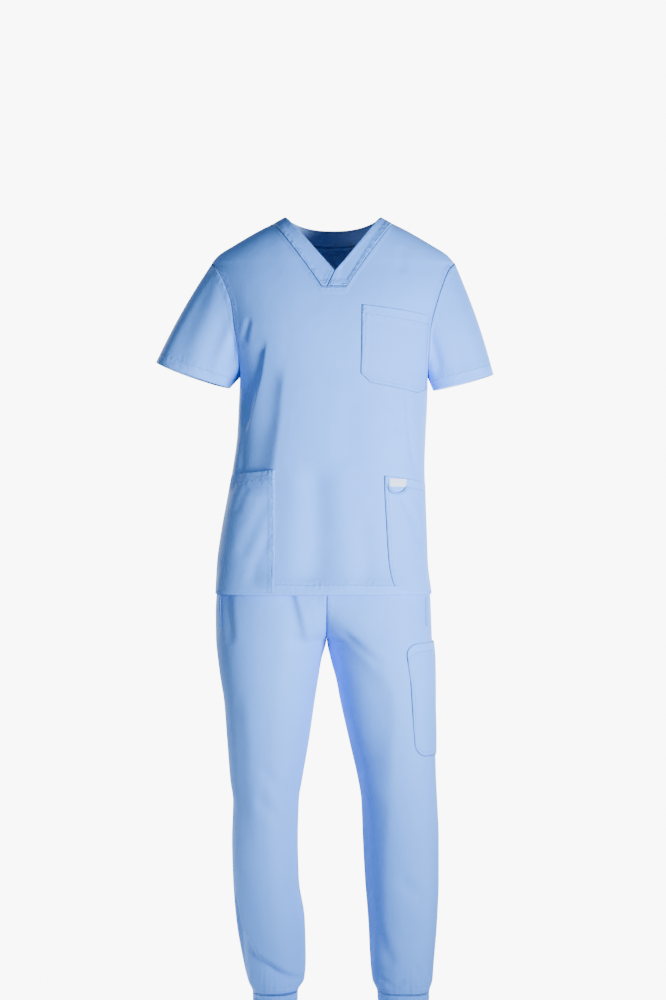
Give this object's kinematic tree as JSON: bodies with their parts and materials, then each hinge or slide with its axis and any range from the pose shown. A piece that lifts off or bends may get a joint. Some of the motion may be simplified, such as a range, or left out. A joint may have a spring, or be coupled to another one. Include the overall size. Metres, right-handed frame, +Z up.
{
  "type": "medical scrubs set",
  "caption": "V-neck short-sleeved scrub top and jogger scrub trousers in light blue cloth, worn and filled out, with chest, hip and cargo pockets.",
  "frame": {"origin": "middle of the neck opening at the height where the shoulder seams meet the neckband", "axes": "+Z up along the garment, -Y to the front, +X to the wearer's left"},
  "size_m": [0.635, 0.259, 1.52],
  "materials": {
    "scrub_cloth": "matt",
    "label_cloth": "matt"
  },
  "bodies": {
    "root": {"top_front": "scrub_cloth", "top_back": "scrub_cloth", "neckband_right_front": "scrub_cloth", "neckband_left_front": "scrub_cloth", "neckband_back": "scrub_cloth", "sleeve_right": "scrub_cloth", "sleeve_left": "scrub_cloth", "chest_pocket": "scrub_cloth", "lower_pocket_right": "scrub_cloth", "lower_pocket_left": "scrub_cloth", "trouser_front_right": "scrub_cloth", "trouser_front_left": "scrub_cloth", "trouser_back_right": "scrub_cloth", "trouser_back_left": "scrub_cloth", "waistband": "scrub_cloth", "cuff_right": "scrub_cloth", "cuff_left": "scrub_cloth", "cargo_pocket": "scrub_cloth", "side_pocket_facing_right": "scrub_cloth", "side_pocket_facing_left": "scrub_cloth", "badge_loop": "scrub_cloth", "pocket_label": "label_cloth"}
  },
  "joints": []
}
